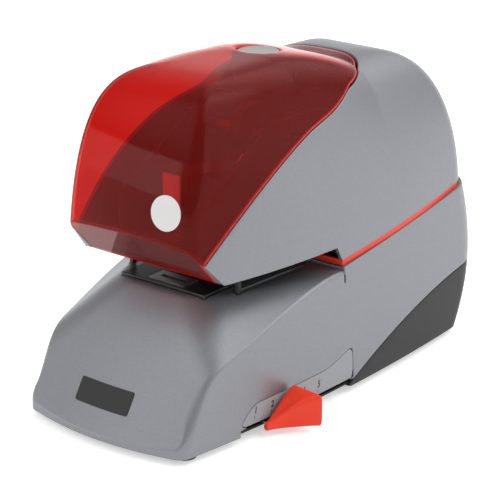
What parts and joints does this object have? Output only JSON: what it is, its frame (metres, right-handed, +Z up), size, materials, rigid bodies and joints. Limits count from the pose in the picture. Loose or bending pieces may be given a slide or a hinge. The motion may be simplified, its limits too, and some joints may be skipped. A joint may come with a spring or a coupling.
{
  "type": "electric stapler",
  "caption": "Desktop electric stapler with a see-through hinged front cover, a deep paper throat, a motor-driven staple head and a sliding depth stop.",
  "frame": {"origin": "on the surface that the feet stand on, under the middle of the whole box, knob included", "axes": "+Z up, +Y towards the rear with the power inlet, +X towards the side with the depth knob"},
  "size_m": [0.1657, 0.3083, 0.2063],
  "materials": {
    "silver_paint": "fine silver metallic paint on moulded plastic",
    "dark_plastic": "satin dark grey",
    "black_plastic": "satin black",
    "orange_plastic": "satin orange red",
    "red_clear": "glossy see-through dark red",
    "steel": "plain steel",
    "button_grey": "light grey",
    "white_label": "pale grey with plain numbers",
    "brass": "plain",
    "board_green": "circuit board",
    "rubber": "matt black",
    "nylon": "natural white"
  },
  "bodies": {
    "chassis": {"upper_housing": "silver_paint", "seam_trim": "orange_plastic", "lower_housing": "silver_paint", "base_tray": "dark_plastic", "scale_plate": "white_label", "foot_front_left": "rubber", "foot_front_right": "rubber", "foot_rear_left": "rubber", "foot_rear_right": "rubber", "base_screw_front_left": "steel", "base_screw_front_right": "steel", "base_screw_rear_left": "steel", "base_screw_rear_right": "steel", "table_insert": "black_plastic", "anvil_block": "steel", "sensor_switch": "black_plastic", "head_underplate": "black_plastic", "cassette_body": "black_plastic", "staple_strip": "steel", "strip_pusher": "orange_plastic", "frame_plate_left": "steel", "frame_plate_right": "steel", "tie_rod_front": "steel", "tie_rod_middle": "steel", "tie_rod_rear": "steel", "motor": "steel", "idler_axle": "steel", "arm_pivot_pin": "steel", "cover_hinge_pin": "steel", "transformer_core": "steel", "transformer_coil": "brass", "control_board": "board_green", "power_inlet": "black_plastic", "switch_housing": "black_plastic"},
    "cover": {"front_cover": "red_clear", "button_cup": "black_plastic", "hinge_arm_left": "black_plastic", "hinge_arm_right": "black_plastic"},
    "button": {"cover_button": "button_grey"},
    "cam_drive": {"cam_shaft": "steel", "cam_gear": "nylon", "cam": "steel"},
    "idler": {"idler_gear": "nylon"},
    "pinion": {"motor_pinion": "brass"},
    "driver": {"driver_arm": "steel", "cam_roller": "steel", "roller_pin": "steel", "driver_blade": "steel"},
    "clincher_left": {"clinch_wing_left": "steel"},
    "clincher_right": {"clinch_wing_right": "steel"},
    "depth_stop": {"depth_knob": "orange_plastic", "depth_carriage": "steel", "paper_stop_left": "nylon", "paper_stop_right": "nylon"},
    "paper_sensor": {"sensor_lever": "nylon"},
    "rocker": {"power_rocker": "black_plastic"}
  },
  "joints": [
    {"name": "cover_hinge", "type": "hinge", "parent": "chassis", "child": "cover", "pos_m": [-0.01175, 0.0937, 0.172], "axis": [-1, 0, 0], "range_deg": [0, 44]},
    {"name": "button_press", "type": "slide", "parent": "cover", "child": "button", "axis": [0, 0, -1], "range_m": [0, 0.0025], "stiffness_N_per_m": 400, "springref_m": -0.002},
    {"name": "cam_turn", "type": "hinge", "parent": "chassis", "child": "cam_drive", "pos_m": [-0.01175, -0.0103, 0.155], "axis": [-1, 0, 0], "range_deg": [0, 150]},
    {"name": "idler_turn", "type": "hinge", "parent": "chassis", "child": "idler", "pos_m": [-0.01175, 0.01554, 0.14559], "axis": [-1, 0, 0], "range_deg": [-600, 0]},
    {"name": "motor_turn", "type": "hinge", "parent": "chassis", "child": "pinion", "pos_m": [-0.01175, 0.04373, 0.13533], "axis": [-1, 0, 0], "range_deg": [0, 2400]},
    {"name": "driver_swing", "type": "hinge", "parent": "chassis", "child": "driver", "pos_m": [-0.01175, 0.0237, 0.114], "axis": [1, 0, 0], "range_deg": [0, 9]},
    {"name": "clinch_left", "type": "hinge", "parent": "chassis", "child": "clincher_left", "pos_m": [-0.01895, -0.0823, 0.0775], "axis": [0, -1, 0], "range_deg": [0, 15]},
    {"name": "clinch_right", "type": "hinge", "parent": "chassis", "child": "clincher_right", "pos_m": [-0.00455, -0.0823, 0.0775], "axis": [0, 1, 0], "range_deg": [0, 15]},
    {"name": "depth_slide", "type": "slide", "parent": "chassis", "child": "depth_stop", "axis": [0.0529, 0.9986, 0], "range_m": [0, 0.057]},
    {"name": "sensor_tilt", "type": "hinge", "parent": "chassis", "child": "paper_sensor", "pos_m": [0.01025, -0.0563, 0.0745], "axis": [-1, 0, 0], "range_deg": [0, 18], "stiffness_Nm_per_rad": 0.002, "springref_deg": -17.19},
    {"name": "rocker_tilt", "type": "hinge", "parent": "chassis", "child": "rocker", "pos_m": [-0.03775, 0.1445, 0.029], "axis": [-1, 0, 0], "range_deg": [0, 14]}
  ],
  "couplings": [
    {"joint": "idler_turn", "follows": "cam_turn", "ratio": -4},
    {"joint": "motor_turn", "follows": "cam_turn", "ratio": 16},
    {"joint": "driver_swing", "follows": "cam_turn", "ratio": 0.06},
    {"joint": "clinch_left", "follows": "cam_turn", "ratio": 0.1},
    {"joint": "clinch_right", "follows": "cam_turn", "ratio": 0.1}
  ]
}
